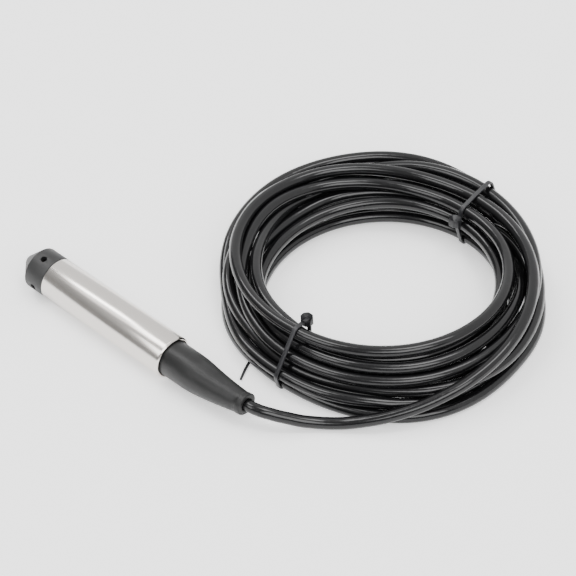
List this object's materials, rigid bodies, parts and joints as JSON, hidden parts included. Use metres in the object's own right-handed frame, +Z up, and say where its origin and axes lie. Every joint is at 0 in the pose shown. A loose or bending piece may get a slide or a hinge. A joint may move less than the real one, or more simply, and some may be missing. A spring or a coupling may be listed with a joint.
{
  "type": "submersible level transmitter",
  "caption": "Submersible hydrostatic level transmitter: a stainless probe with a drilled nose cap, a rubber strain relief boot and a tied coil of vented cable.",
  "frame": {"origin": "on the surface the probe lies on, under the middle of the probe's length, on its axis", "axes": "+X along the probe from the nose cap to the cable, +Y from the probe towards the coil, +Z up"},
  "size_m": [0.281, 0.254, 0.0441],
  "materials": {
    "cap": "dark grey moulded and turned plastic, satin",
    "steel": "finely turned stainless steel, bright",
    "boot": "black rubber, dull",
    "seal": "black seal rubber",
    "board": "green lacquered board",
    "chip": "black moulding",
    "terminal": "green moulded plastic",
    "carrier": "natural white plastic",
    "ceramic": "white glazed body",
    "brass": "turned brass",
    "film": "amber film",
    "jacket": "black cable jacket, glossy",
    "red": "red core insulation",
    "blue": "blue core insulation",
    "clear": "milky plastic tube",
    "nylon": "black nylon"
  },
  "bodies": {
    "housing": {"housing_tube": "steel", "sensor_port": "steel", "port_seal_ring": "seal", "cap_seal_ring": "seal", "sensor_cell": "steel", "cell_seal_ring": "seal", "isolating_diaphragm": "steel", "cell_retaining_ring": "brass", "sensor_lead_strip": "film", "circuit_board": "board", "board_holder_front": "carrier", "board_holder_rear": "carrier", "amplifier_chip": "chip", "surge_arrester": "ceramic", "terminal_block": "terminal", "signal_core_red": "red", "signal_core_blue": "blue", "vent_tube": "clear", "gland_body": "brass", "gland_seal_ring_front": "seal", "gland_seal_ring_rear": "seal", "cable_seal": "seal", "thrust_washer": "steel", "clamp_nut": "brass", "rear_gasket": "seal", "strain_relief_boot": "boot", "cable_sheath_end": "jacket", "cable_run": "jacket", "cable_coil": "jacket", "cable_tie_front": "nylon", "cable_tie_back": "nylon", "far_end_sleeve": "seal", "far_core_red": "red", "far_core_blue": "blue", "far_vent_tube": "clear"},
    "nose_cap": {"nose_cap": "cap"}
  },
  "joints": [
    {"name": "nose_cap_unscrews", "type": "slide", "parent": "housing", "child": "nose_cap", "axis": [-1, 0, 0], "range_m": [0, 0.012]}
  ]
}
